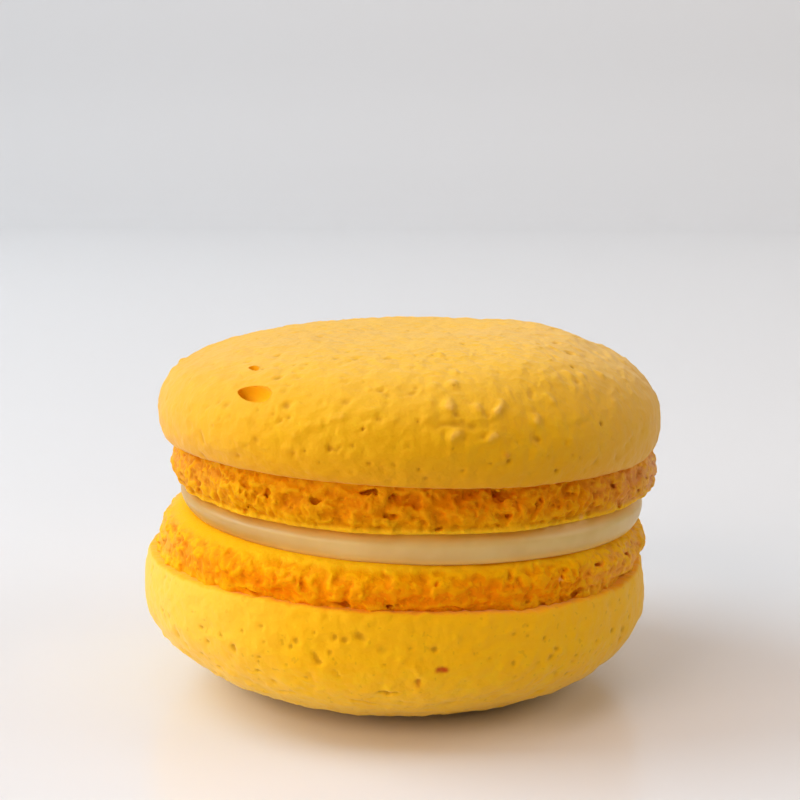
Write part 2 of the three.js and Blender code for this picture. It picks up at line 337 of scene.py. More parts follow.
def make_cap(name, shell, dents, strokes, stains, crown_rise):
    """A cap with its scattered relief, its own dents (turn, reach, radius, depth), its strokes (turn and
    reach of both ends, half width, height), which are creases where the height is below 0, and its stains
    (turn and reach of both ends, half width, strength)."""
    points, facing, reach, counts = plain_cap(shell)
    radius = np.hypot(points[:, 0], points[:, 1])
    bearing = np.arctan2(points[:, 1], points[:, 0])
    outward = points * [1, 1, 0] / np.maximum(radius, 1e-6)[:, None]
    moved = points + outward * (radius / shell.radius * waves(LOBES, bearing + shell.seed))[:, None]
    grain = Grain(shell.seed)  # each use of it below reads the noise at a place of its own
    wall = 1 - smoothstep(points[:, 2], shell.foot, shell.widest + 1)
    edge = 1 - smoothstep(reach, 0, LIP_BAND)
    (long, full), (short, part) = LIP_UNEVEN
    moved[:, 2] += wall * shell.by_turn(points, shell.lift_turns, shell.lift)
    moved[:, 2] += edge * shell.ragged * (full * grain(points + 70, long) + part * grain(points + 80, short))
    moved[:, 2] += crown_rise(points)

    warped = points
    for bend in BENDS:
        warped = warped + shifts(grain, points, *bend)
    swells = sum(height * grain(points + 90, wavelength) for wavelength, height in SWELLS)
    relief = sum(height * grain(points + 95, wavelength) for wavelength, height in PEBBLES)
    relief -= DIMPLES["depth"] * spots(shell.seed + 1, warped, DIMPLES)
    bumpy = smoothstep(grain(points + 120, 9.0), -0.3, 0.35)  # the bumps come in large patches
    relief += bumpy * PIMPLES["height"] * spots(shell.seed + 2, warped, PIMPLES)
    least, most = PORES["radius"]
    few = PORES["share"]
    # The pores sink the relief. With the dents and creases below, they set the hollow mask, which darkens the
    # skin as painted shade.
    hollow = Scatter(shell.seed + 3)(
        points + PORE_BEND * (warped - points),
        PORES["spacing"],
        lambda gap, size: (size < few) * round_bump(gap, least + (most - least) * size / few),
    )
    relief -= PORES["depth"] * hollow
    ridges = np.exp(-((grain(warped + 150, WRINKLES["wavelength"]) / WRINKLES["thin"]) ** 2))
    broken = smoothstep(grain(points + 160, 1.8), -0.05, 0.2) * smoothstep(reach, *WRINKLES["above"])
    wrinkled = shell.by_turn(points, shell.wrinkled_turns, shell.wrinkled)
    relief += WRINKLES["height"] * wrinkled * ridges * broken
    bent = points + DENT_BEND * (warped - points)
    bent += shifts(grain, points, *FINE_BEND)
    for turn, up, wide, depth in dents:
        gap = np.linalg.norm(bent - shell.on_skin(turn, up), axis=1) / (DENT_SPREAD * wide)
        dent = round_bump(gap, 1)
        rim = DENT_RIM["height"] * np.exp(-(((gap - DENT_RIM["at"]) / DENT_RIM["half"]) ** 2))
        relief -= shell.softer * depth * (dent - rim)
        hollow = np.maximum(hollow, min(1, depth / DARK_DENT) * dent)
    for turn, up, to_turn, to_up, wide, height in strokes:
        gap = from_stroke(bent, shell.on_skin(turn, up), shell.on_skin(to_turn, to_up))
        relief += height * round_bump(gap, wide)
        hollow = np.maximum(hollow, min(1, max(0, -height / DARK_CREASE)) * round_bump(gap, wide))
    stain = np.zeros(len(points))
    for turn, up, to_turn, to_up, wide, strength in stains:
        gap = from_stroke(bent, shell.on_skin(turn, up), shell.on_skin(to_turn, to_up))
        stain = np.maximum(stain, strength * round_bump(gap, wide))
    moved += facing * ((relief + swells) * smoothstep(reach, 0, LIP_ROUNDING))[:, None]
    moved = placed(moved, shell.seat)
    attributes = {
        "relief": relief,
        # painted shade: pores, dents and creases are darkened by this mask
        "hollow": hollow,
        "stain": stain,
        "reach": reach / shell.reach[-1],
        # painted sheen: paler at the sides, where the light grazes the skin
        "painted_sheen": shell.by_turn(points, shell.painted_sheen_turns, shell.painted_sheen),
    }
    return new_mesh(name, moved, ring_faces(counts), attributes)


def crown_share(shell, points):
    """1 over the crown, falling to 0 down its sides."""
    return smoothstep(points[:, 2], shell.top - shell.dome / 2, shell.top - shell.dome / 10)


def lower_crown_rise(points):
    return points[:, 0] * math.tan(math.radians(LOWER.slant)) * crown_share(LOWER, points)


# Dents and pinholes: turn, reach, radius and depth.
LOWER_DENTS = [
    # at the left
    (-61, 4.1, 0.35, 0.16), (-57, 4.2, 0.35, 0.16), (-48, 2.8, 0.22, 0.14), (-45, 3.8, 0.30, 0.18),
    (-43, 5.1, 0.30, 0.18), (-38.5, 4.0, 0.30, 0.18), (-47, 6.8, 0.40, 0.15), (-43, 7.8, 0.28, 0.18),
    (-35, 4.8, 0.55, 0.14), (-33, 3.1, 0.28, 0.18), (-28.5, 2.3, 0.34, 0.16), (-27.5, 3.6, 0.32, 0.16),
    (-28.5, 5.0, 0.28, 0.18), (-29, 5.5, 0.22, 0.18), (-22.5, 5.3, 0.28, 0.15),
    # in the middle
    (-20, 3.0, 0.42, 0.20), (-21.3, 3.6, 0.34, 0.20), (-18.5, 6.3, 0.34, 0.17), (-13, 3.6, 0.36, 0.18),
    (-12, 2.3, 0.40, 0.20), (-9.8, 2.4, 0.42, 0.18), (-6.5, 2.1, 0.60, 0.13), (-2.5, 3.1, 0.75, 0.12),
    (-1.8, 4.4, 0.26, 0.14), (-16.5, 2.1, 0.24, 0.16), (8, 3.0, 0.36, 0.19), (5, 5.9, 0.50, 0.20),
    (9.8, 4.7, 0.45, 0.15),
    # at the right
    (19.5, 3.9, 0.24, 0.16), (25, 1.9, 0.26, 0.15), (28, 1.3, 0.32, 0.13), (32, 2.6, 0.26, 0.20),
    (25, 4.6, 0.32, 0.14), (26, 5.8, 0.30, 0.13), (34, 4.5, 0.50, 0.16), (35.5, 3.8, 0.36, 0.15),
    (41, 6.9, 0.34, 0.17), (54, 3.8, 0.40, 0.18), (62, 3.4, 0.36, 0.15), (48, 4.2, 0.28, 0.14),
]
# Blisters and creases: turn and reach of both ends, half width, and height.
LOWER_STROKES = [
    # low blisters
    (4.0, 4.5, 5.0, 5.1, 0.34, 0.17), (12.4, 2.0, 12.4, 2.5, 0.38, 0.14),
    (2.0, 3.9, 1.4, 4.0, 0.45, 0.12), (18.5, 2.0, 18.5, 2.4, 0.40, 0.09),
    (33.8, 3.9, 36.2, 4.8, 0.30, 0.12),
    # creases and scratches
    (-16.6, 3.8, -15.2, 4.6, 0.30, -0.17), (-12.2, 5.2, -11.2, 5.8, 0.26, -0.15),
    (-32.5, 6.8, -29.0, 6.7, 0.22, -0.20), (-9.0, 8.7, -4.0, 9.4, 0.24, -0.15),
    (-2.8, 7.4, 0.8, 7.4, 0.26, -0.20), (-26.5, 9.1, -22.5, 8.6, 0.30, -0.12),
    (36, 6.4, 38, 5.9, 0.22, -0.12),
]
LOWER_STAINS = [(9.0, 4.72, 10.6, 4.68, 0.42, 1.0), (5.2, 5.9, 5.1, 6.3, 0.36, 0.5)]
lower_cap = make_cap("lower_cap", LOWER, LOWER_DENTS, LOWER_STROKES, LOWER_STAINS, lower_crown_rise)
corners = np.zeros(len(lower_cap.data.vertices) * 3, np.float32)
lower_cap.data.vertices.foreach_get("co", corners)
corners[2::3] = np.maximum(corners[2::3], 0)  # the flat spot that it rests on
lower_cap.data.vertices.foreach_set("co", corners)
lower_cap.data.update()


class Value:
    """A socket of a finish's node tree. Arithmetic on it adds Math nodes."""

    def __init__(self, finish, socket):
        self.finish = finish
        self.socket = socket

    def math(self, operation, first, second):
        return self.finish.node("ShaderNodeMath", {"operation": operation}, {0: first, 1: second})

    def __add__(self, other):
        return self.math("ADD", self, other)

    def __sub__(self, other):
        return self.math("SUBTRACT", self, other)

    def __rsub__(self, other):
        return self.math("SUBTRACT", other, self)

    def __mul__(self, other):
        return self.math("MULTIPLY", self, other)

    __radd__ = __add__
    __rmul__ = __mul__


class Finish:
    """A material, made node by node."""

    def __init__(self, name, **shader):
        self.material = bpy.data.materials.new(name)
        self.material.use_nodes = True
        self.tree = self.material.node_tree
        self.shader = self.tree.nodes["Principled BSDF"]
        for socket, value in shader.items():
            self.shader.inputs[socket.replace("_", " ")].default_value = value

    def node(self, kind, settings, sockets, output=0):
        made = self.tree.nodes.new(kind)
        for key, value in settings.items():
            setattr(made, key, value)
        for key, value in sockets.items():
            if isinstance(value, Value):
                self.tree.links.new(value.socket, made.inputs[key])
            else:
                made.inputs[key].default_value = value
        return Value(self, made.outputs[output])

    def place(self):
        return self.node("ShaderNodeTexCoord", {}, {}, "Object")

    def stored(self, name):
        return self.node("ShaderNodeAttribute", {"attribute_name": name}, {}, "Fac")

    def cloud(self, size, detail=2.0, roughness=0.5):
        """Noise from 0 to 1 whose patches are about this size, in millimetres."""
        sockets = {"Vector": self.place(), "Scale": 1 / (size * MM), "Detail": detail, "Roughness": roughness}
        return self.node("ShaderNodeTexNoise", {}, sockets)

    def between(self, value, low, high):
        """0 below low, 1 above high, and a smooth rise between."""
        sockets = {"Value": value, "From Min": low, "From Max": high}
        return self.node("ShaderNodeMapRange", {"interpolation_type": "SMOOTHSTEP"}, sockets)

    def mix(self, factor, first, second):
        return self.node("ShaderNodeMix", {"data_type": "RGBA"}, {0: factor, 6: first, 7: second}, 2)

    def feed(self, socket, value):
        self.tree.links.new(value.socket, self.shader.inputs[socket])

    def raise_by(self, height, distance):
        """Fine relief: height 0 to 1 stands for this distance in millimetres."""
        return self.node("ShaderNodeBump", {}, {"Height": height, "Distance": distance * MM, "Strength": 1.0})


def srgb(red, green, blue):
    """A colour as seen on a screen, from 0 to 255, as the light it stands for."""
    part = np.array([red, green, blue]) / 255
    light = np.where(part <= 0.04045, part / 12.92, ((part + 0.055) / 1.055) ** 2.4)
    return (*light, 1.0)


def skin_finish(name, plain, bright, golden, rim, lip, hollow, crown, painted_sheen, painted_blister_highlight, speckled):
    """The baked skin of a cap: yellow, golden in patches, with dark specks and stains. It is paler over the
    crown, partly drier skin and partly painted sheen, with painted sheen at the sides and painted highlights
    on the blisters. Its rim is a darker gold, partly its own colour and partly painted shade, and painted
    shade darkens its dimples, creases and lip."""
    skin = Finish(
        name,
        Roughness=0.6,
        IOR=1.2,
        Sheen_Weight=0.28,
        Sheen_Roughness=0.45,
        Sheen_Tint=srgb(255, 236, 210),
        Subsurface_Weight=0.1,
        Subsurface_Radius=(1.0, 0.45, 0.05),
        Subsurface_Scale=0.5 * MM,
    )
    reach = skin.stored("reach")
    relief = skin.stored("relief")
    patches = skin.between(skin.cloud(5.0, 3.0), 0.36, 0.66)
    mottle = skin.between(skin.cloud(1.1, 3.0), 0.42, 0.68)
    colour = skin.mix(patches * 0.5, plain, golden)
    colour = skin.mix(mottle * 0.4, colour, bright)
    # Paler over the crown: partly the drier crown's own colour and partly painted sheen from the light above.
    colour = skin.mix(skin.between(reach, 0.15, 0.45), colour, crown)
    # A darker gold towards the rim: partly the skin's own colour and partly painted shade on the wall under
    # its widest ring.
    colour = skin.mix((1 - skin.between(reach, 0.02, 0.2)) * 0.7, colour, rim)
    # Painted sheen: a paler yellow at the sides, where the light grazes the skin.
    colour = skin.mix(skin.stored("painted_sheen"), colour, painted_sheen)
    # Painted shade: the lip is painted a deeper yellow to damp the sheen that its edge catches.
    colour = skin.mix((1 - skin.between(reach, 0.002, 0.01)) * 0.8, colour, lip)
    # Painted shade: darker where the relief sinks in.
    colour = skin.mix(skin.between(relief * -1, 0.04, 0.22) * 0.5, colour, hollow)
    # Painted highlight: the tops of the blisters are a pale peach, as if lit from above.
    colour = skin.mix(skin.between(relief, 0.12, 0.34) * 0.7, colour, painted_blister_highlight)
    # Painted shade in the pores, dents and creases.
    colour = skin.mix(skin.between(skin.stored("hollow"), 0.1, 0.9) * 0.6, colour, hollow)
    specks = skin.between(skin.cloud(0.55, 1.0), 0.66, 0.75)
    colour = skin.mix(specks * speckled, colour, hollow)
    colour = skin.mix(skin.stored("stain"), colour, srgb(198, 66, 0))
    colour = skin.mix(skin.stored("burst"), colour, srgb(255, 200, 20))
    skin.feed("Base Color", colour)
    fine = skin.cloud(0.3, 2.0, 0.5)
    pebbles = skin.cloud(0.8, 2.0)
    drier = skin.between(reach, 0.3, 0.6)
    skin.feed("Normal", skin.raise_by(fine * 0.25 + pebbles * (1 + drier), 0.11))
    return skin


lower_skin = skin_finish(
    "lower_skin",
    plain=srgb(255, 193, 5),
    bright=srgb(255, 207, 16),
    golden=srgb(252, 184, 3),
    # the rim's colour, partly painted shade
    rim=srgb(255, 190, 5),
    # the lip's colour, painted shade against its sheen
    lip=srgb(255, 188, 8),
    # the colour of the painted shade in hollows, also used for the dark specks
    hollow=srgb(198, 138, 3),
    # the crown's paler colour, partly painted sheen
    crown=srgb(255, 204, 46),
    # the colour of the painted sheen
    painted_sheen=srgb(255, 209, 88),
    painted_blister_highlight=srgb(255, 210, 72),
    speckled=0.28,
)
lower_cap.data.materials.append(lower_skin.material)
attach(lower_cap, "root")
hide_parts("lower_shell")


# ==== The lower foot ==================================================================================
# The ruffled crumb that pushes out under the skin as a shell rises in the oven. It is an open sponge of
# almond meringue, torn along its side. Its base was flat on the tray, so it now has a smooth edge on top.

VOXEL = 0.135
FOOT_INNER = 18.4  # the crumb further in is never seen
FOOT_INTO_CAP = 1.1
FRILL = [(3, 0.2, -10), (7, 0.10, 40), (11, 0.06, 0)]  # slow waves of the side
CRUMB_REACH = 1.3  # the crumb is worked out this far on both sides of the foot's mean side
FOOT_SIMPLER = 0.01  # flat parts of the mesh are made simpler by this much
POCKET_SHARE = 0.62  # of a pocket's depth stays open
POCKET_CRUMB = 0.6  # of the crumb's relief goes on inside a pocket
POCKET_BLEND = 0.16  # a pocket's edge is this soft
SKIRT_HEIGHTS = (0.2, 0.6)  # a skirt is full up to the first height, and gone above the second
BELLY_POWER = 0.8  # the side swells most a little below its middle
GRID_ASIDE = 0.9  # the grid of voxels goes on this far past the cap's radius,
GRID_ABOVE = 0.5  # and this far above and below the crumb
CAVITY_VOXELS = 4  # a corner is set against the crumb this many voxels around it, to tell pocket from ridge for painted shade and light
# The moist crumb sets in between these shares of the height. Moist crumb and the painted sheen come in uneven
# patches.
MOIST_FROM = (0.1, 0.55)
MOIST_PATCHES = {"wavelength": 2.6, "by": 0.5}
PAINTED_SHEEN_PATCHES = {"wavelength": 1.8, "by": 0.8}


def smooth_max(first, second, blend):
    share = np.clip(0.5 + (first - second) / (2 * blend), 0, 1)
    return second + (first - second) * share + blend * share * (1 - share)


def foot_wall(shell, points, height):
    """The mean radius of the foot's side at a height."""
    sizes = (shell.base, shell.belly, shell.neck)
    base, belly, neck = (shell.by_turn(points, shell.side_turns, size) for size in sizes)
    share = np.clip(height / shell.foot, 0, 1)
    skirt = shell.skirt * (1 - smoothstep(height, *SKIRT_HEIGHTS))
    return base + (neck - base) * share + belly * np.sin(math.pi * share**BELLY_POWER) + skirt


DEEPEST = 0.5  # no bowl is cut deeper than this
SIDEWAYS_STRETCH = np.array([1, 0.6, 1], np.float32)  # lumps and bubbles are longer along the sides
CRUMB_BENDS = [(0.60, 1.6, (15, 35, 55)), (0.34, 0.6, (75, 95, 115))]
CRUMB_GRAIN = {"wavelength": 0.38, "height": 0.06}
LUMP_SIZES = (0.6, 0.8)  # a lump's radius is the first share of that given, and up to the second one more


def crumb(shell, points, side, crumbs):
    """How far each point lies outside the torn crumb, and the warped place it has in the crumb's pattern.
    Lumps stand out, and the bubbles between them are cut open to bowls, whose thin walls stay as ridges."""
    grain = Grain(shell.seed + 20)
    warped = points + sum(shifts(grain, points, *bend) for bend in CRUMB_BENDS)
    bent = warped * SIDEWAYS_STRETCH
    outset = sum(height * grain(points + 130, wavelength) for wavelength, height in crumbs["swells"])
    flaky = shell.by_turn(points, crumbs["flaky_turns"], crumbs["flaky"])
    scales = [(1, *lump) for lump in crumbs["lumps"]] + [(-1, *bowl) for bowl in crumbs["bowls"]]
    for number, (way, spacing, wide, height, flaked) in enumerate(scales):
        round_one = Scatter(shell.seed + 21 + number)(
            bent, spacing, lambda gap, size: 1 - (gap / (wide * (LUMP_SIZES[0] + LUMP_SIZES[1] * size))) ** 2
        )
        height = height + (flaked - height) * flaky
        outset = outset + way * height * (np.clip(round_one, 0, 1) - 0.5)
    fine = CRUMB_GRAIN["height"] * grain(points + 140, CRUMB_GRAIN["wavelength"])
    return side - np.maximum(outset, -DEEPEST) - fine, warped


def box_mean(field, reach):
    """The mean of a field over a small cube around each of its points."""
    for axis in range(3):
        total = np.cumsum(field, axis=axis, dtype=np.float32)
        ahead = np.roll(total, -reach, axis=axis)
        behind = np.roll(total, reach + 1, axis=axis)
        field = (ahead - behind) / (2 * reach + 1)
    return field


def sampled(field, places):
    """The field's values at places given in its own steps."""
    low = np.clip(np.floor(places).astype(np.int32), 0, np.array(field.shape) - 2)
    part = places - low
    total = 0
    for corner in np.ndindex(2, 2, 2):
        share = np.prod(np.where(corner, part, 1 - part), axis=1)
        total = total + share * field[tuple((low + corner).T)]
    return total


def in_one_piece(count, face_sets):
    """Which of a mesh's corners belong to its largest piece."""
    label = np.arange(count)
    while True:
        lower = label.copy()
        for faces in face_sets:
            least = label[faces].min(axis=1)
            for corner in faces.T:
                np.minimum.at(lower, corner, least)
        lower = lower[lower]
        if np.array_equal(lower, label):
            return label == np.bincount(label).argmax()
        label = lower


def make_foot(name, shell, crumbs, pockets):
    reach = shell.radius + GRID_ASIDE
    low = np.array([-reach, -reach, -GRID_ABOVE])
    high = np.array([reach, reach, shell.foot + FOOT_INTO_CAP + GRID_ABOVE])
    counts = np.ceil((high - low) / VOXEL).astype(int) + 1
    x, y, z = (low[i] + VOXEL * np.arange(counts[i]) for i in range(3))
    x, y, z = np.meshgrid(x, y, z, indexing="ij", sparse=True)
    radius = np.broadcast_to(np.hypot(x, y), counts)
    bearing = np.arctan2(y, x) + np.zeros_like(z)
    side = radius - foot_wall(shell, (x, y), z) - waves(FRILL, bearing) - waves(LOBES, bearing + shell.seed)
    near = (np.abs(side) < CRUMB_REACH) & (z > -3 * VOXEL) & (z < shell.foot + FOOT_INTO_CAP + VOXEL)
    points = np.stack([np.broadcast_to(a, counts)[near] for a in (x, y, z)], axis=1).astype(np.float32)
    start, full = (shell.by_turn(points, crumbs["edge_turns"], levels) for levels in crumbs["edge_levels"])
    rough = smoothstep(points[:, 2], start, full)
    torn, warped = crumb(shell, points, side[near], crumbs)
    for turn, up, wide, tall, deep in pockets:
        outward = shell.way_out(turn)
        away = warped[:, :2] - outward * foot_wall(shell, tuple(outward), up)
        out = away @ outward / (POCKET_SHARE * deep)
        over = away @ (-outward[1], outward[0]) / wide
        inside = 1 - np.sqrt(over**2 + ((warped[:, 2] - up) / tall) ** 2 + out**2)
        ragged = inside * min(wide, tall) + POCKET_CRUMB * (torn - side[near])
        torn = smooth_max(torn, ragged, POCKET_BLEND)
    field = side.astype(np.float32)
    field[near] = torn * rough + side[near] * (1 - rough)
    rounding = shell.by_turn((x, y), crumbs["edge_turns"], crumbs["edge_round"])
    field = smooth_max(field, -z, rounding)
    field = np.maximum(field, z - (shell.foot + FOOT_INTO_CAP))
    field = np.maximum(field, FOOT_INNER - radius)
    field = np.clip(field, -1, 1).astype(np.float32)
    grid = openvdb.FloatGrid(1.0)
    grid.copyFromArray(field)
    corners, triangles, quads = grid.convertToPolygons(0.0, FOOT_SIMPLER)
    faces = [faces.astype(np.int64) for faces in (quads, triangles) if len(faces)]
    kept = in_one_piece(len(corners), faces)
    number = np.cumsum(kept) - 1
    faces = [number[faces[kept[faces[:, 0]]]] for faces in faces]
    corners = corners[kept]
    # How far each corner sits in a pocket: the mask for painted shade in pockets and painted light on ridges.
    cavity = -sampled(box_mean(field, CAVITY_VOXELS), corners) / VOXEL
    points = low + corners.astype(float) * VOXEL
    height = np.clip(points[:, 2] / shell.foot, 0, 1)
    points[:, 0] += shell.sideways
    grain = Grain(shell.seed + 30)
    # Painted sheen: the ends of the crumb are painted paler, in uneven patches.
    patchy = 1 + PAINTED_SHEEN_PATCHES["by"] * grain(points + 9, PAINTED_SHEEN_PATCHES["wavelength"])
    painted_sheen = shell.by_turn(points, crumbs["painted_sheen_turns"], crumbs["painted_sheen"]) * patchy
    pale = np.zeros(len(points))
    for turn, up, wide, strength in crumbs["pale"]:
        outward = shell.way_out(turn)
        middle = np.append(outward * foot_wall(shell, tuple(outward), up), up)
        pale = np.maximum(pale, strength * round_bump(np.linalg.norm(points - middle, axis=1), wide))
    moist = smoothstep(height, *MOIST_FROM) * shell.by_turn(points, crumbs["moist_turns"], crumbs["moist"])
    moist = np.clip(moist + MOIST_PATCHES["by"] * grain(points, MOIST_PATCHES["wavelength"]), 0, 1)
    attributes = {"cavity": cavity, "height": height, "pale": pale, "moist": moist, "painted_sheen": painted_sheen}
    return new_mesh(name, placed(points, shell.seat), faces, attributes)


LOWER_CRUMBS = {
    "swells": [((2.8, 4.0, 1.3), 0.36), ((1.3, 1.9, 0.8), 0.22)],
    # spacing, radius and height of the lumps and bowls, and their height where the crumb is flaky
    "lumps": [((2.0, 2.0, 1.2), 1.1, 0.29, 0.20), ((0.9, 0.9, 0.7), 0.5, 0.11, 0.15)],
    "bowls": [((1.6, 1.6, 1.1), 0.72, 0.14, 0.18), (0.55, 0.36, 0.10, 0.27)],
    # painted sheen: the ends are painted a paler crumb colour, at these turns and shares
    "painted_sheen_turns": (-120, -90, -60, -40, 42, 60, 100, 130),
    "painted_sheen": (0, 0.5, 0.1, 0, 0, 0.4, 0.7, 0),
    # pale crumbs: turn, height, radius and strength
    "pale": [(37, 1.7, 0.32, 1.0), (-68, 2.2, 0.32, 0.8), (68, 2.6, 0.5, 0.6)],
    # where the crumb is moist, and a deeper orange
    "moist_turns": (-100, -70, -40, -20, 25, 50, 90),
    "moist": (0, 0.1, 0.7, 1, 1, 0.5, 0),
    "flaky_turns": (-95, -60, -40, 15, 35, 85, 110),
    "flaky": (1, 1, 0, 0, 1, 1, 1),
    # The base is smooth on the left, where more of it shows, and rough at the front and on the right.
    "edge_turns": (-130, -110, -50, -20, 50, 90),
    "edge_levels": ((-0.3, 0.1, 0.1, -0.6, -0.6, -0.3), (0.3, 1.0, 0.9, 0.1, 0.1, 0.3)),
    "edge_round": (0.6, 1.2, 1.0, 0.3, 0.4, 1.2),
}
# Deep pockets between the lumps: turn, height, half width, half height and depth.
LOWER_POCKETS = [
    (-60, 3.6, 0.9, 0.25, 0.6), (-34, 3.5, 1.3, 0.22, 0.7), (-20, 2.9, 0.5, 0.35, 0.35),
    (-12, 3.3, 0.6, 0.25, 0.45), (-9, 2.6, 0.35, 0.3, 0.3), (-2, 3.2, 0.7, 0.3, 0.5),
    (8, 1.4, 0.7, 0.35, 0.5), (14, 3.4, 1.4, 0.22, 0.7), (32, 3.5, 2.0, 0.25, 0.7),
    (45, 3.2, 1.7, 0.35, 0.9), (24, 0.9, 0.3, 0.3, 0.5), (38, 1.0, 0.5, 0.25, 0.7),
    (49, 1.1, 0.5, 0.22, 0.6), (62, 1.6, 0.6, 0.3, 0.8),
]
lower_foot = make_foot("lower_foot", LOWER, LOWER_CRUMBS, LOWER_POCKETS)


def crumb_finish(name, plain, ridge_painted_light, pocket, edge, fold_painted_light, wet, painted_sheen_colour):
    """The open crumb of a foot, more orange where it is moist, with pale crumbs of almond. Painted light
    makes it lighter on its ridges, at its ends, in the crease by the cap and in small glints, and painted
    shade darkens its pockets and pits. Its base edge is lighter, partly its own colour and partly painted
    light."""
    bread = Finish(
        name,
        Roughness=0.5,
        IOR=1.1,
        Subsurface_Weight=0.3,
        Subsurface_Radius=(1.0, 0.35, 0.03),
        Subsurface_Scale=0.5 * MM,
    )
    cavity = bread.stored("cavity")
    height = bread.stored("height")
    moist = bread.stored("moist")
    colour = bread.mix(moist, plain, wet)
    # Painted sheen: the ends of the crumb are painted paler.
    painted_sheen = bread.stored("painted_sheen")
    colour = bread.mix(painted_sheen, colour, painted_sheen_colour)
    # Painted shade: darker in the pockets.
    colour = bread.mix(bread.between(cavity, 0.0, 1.0) * 0.5, colour, pocket)
    # Painted light: lighter on the ridges, as if lit through their thin walls.
    colour = bread.mix(bread.between(cavity * -1, 0.15, 1.0) * (0.8 - 0.45 * moist), colour, ridge_painted_light)
    # Lighter at the base edge: partly the baked edge's own colour and partly painted light where that edge is
    # in shade.
    colour = bread.mix((1 - bread.between(height, 0.05, 0.2)) * 0.9, colour, edge)
    # Painted light: the crease by the cap is made lighter, to lift its shade.
    colour = bread.mix(bread.between(height, 0.82, 0.98) * 0.5, colour, fold_painted_light)
    # Painted highlights: small pale glints on the crumb, more of them at its ends.
    painted_glints = bread.between(bread.cloud(0.4, 2.0), 0.58, 0.68)
    colour = bread.mix(painted_glints * (0.45 + 0.4 * painted_sheen), colour, bread.mix(painted_sheen, ridge_painted_light, srgb(255, 206, 110)))
    # Painted shade: darker patches up the side, for the shade in small pits.
    pits = bread.between(bread.cloud(0.5, 2.0), 0.34, 0.42)
    colour = bread.mix((1 - pits) * bread.between(height, 0.08, 0.3) * 0.25, colour, pocket)
    colour = bread.mix(bread.stored("pale"), colour, srgb(250, 190, 120))
    bread.feed("Base Color", colour)
    fine = bread.cloud(0.22, 4.0, 0.6)
    flakes = bread.cloud(0.5, 3.0, 0.6)
    bread.feed("Normal", bread.raise_by(fine * 0.5 + flakes, 0.1))
    return bread


lower_crumb = crumb_finish(
    "lower_crumb",
    plain=srgb(240, 164, 0),
    ridge_painted_light=srgb(255, 188, 6),
    # the colour of the painted shade in pockets and pits
    pocket=srgb(202, 98, 0),
    edge=srgb(255, 194, 22),
    fold_painted_light=srgb(255, 194, 22),
    wet=srgb(250, 142, 0),
    # the colour of the painted sheen
    painted_sheen_colour=srgb(252, 196, 116),
)
lower_foot.data.materials.append(lower_crumb.material)
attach(lower_foot, "root")
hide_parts("lower_shell")


# ==== The ganache =====================================================================================
# A spoonful of white-chocolate ganache, piped on the lower shell while soft. The upper shell presses it out
# into a smooth, rounded edge that sets with a soft sheen.

GANACHE = {
    "radius": 20.95,
    "top_radius": 21.15,
    "thickness": 2.45,
    "offset": 1.0,  # to the right of the lower shell's axis
    "bulge": 0.4,
    "bulge_power": 0.8,
    "recess": 0.45,  # how far its edge draws in under the upper foot,
    "recess_from": (0.58, 0.95),  # between these shares of its height
    "recess_power": 1.3,
    "inner_ring": 0.9,  # of the radius, where its flat faces have a ring
}
RIPPLES = [((7, 7, 1.3), 0.10), ((2.4, 2.4, 0.9), 0.03)]  # (wavelength, height)
# On the left it was pressed out less below: at these turns it stays this much further in.
DRAWN_IN = {"turns": (-140, -100, -48, -15), "depths": (0, 0.6, 0.6, 0)}
# There its recess is also deeper, by these factors, and painted shade darkens its colour, by these shares.
SHADED = {"turns": (-120, -90, -44, -14), "recess": (1.0, 1.7, 1.7, 1.0), "painted_shade_left": (0, 1, 1, 0)}
GANACHE_LOBES = [(2, 0.06, 40), (3, 0.08, 120), (7, 0.03, 15)]
GANACHE_COLUMNS = 720
GANACHE_ROWS = 28
PRESSED_IN = 0.06  # it reaches this far into both shells
UPPER_LEAN = 1.0  # the upper shell leans less than the lower one, so the ganache is a slight wedge
UPPER_OFFSET = 0.75  # and it sits this far to the right of it


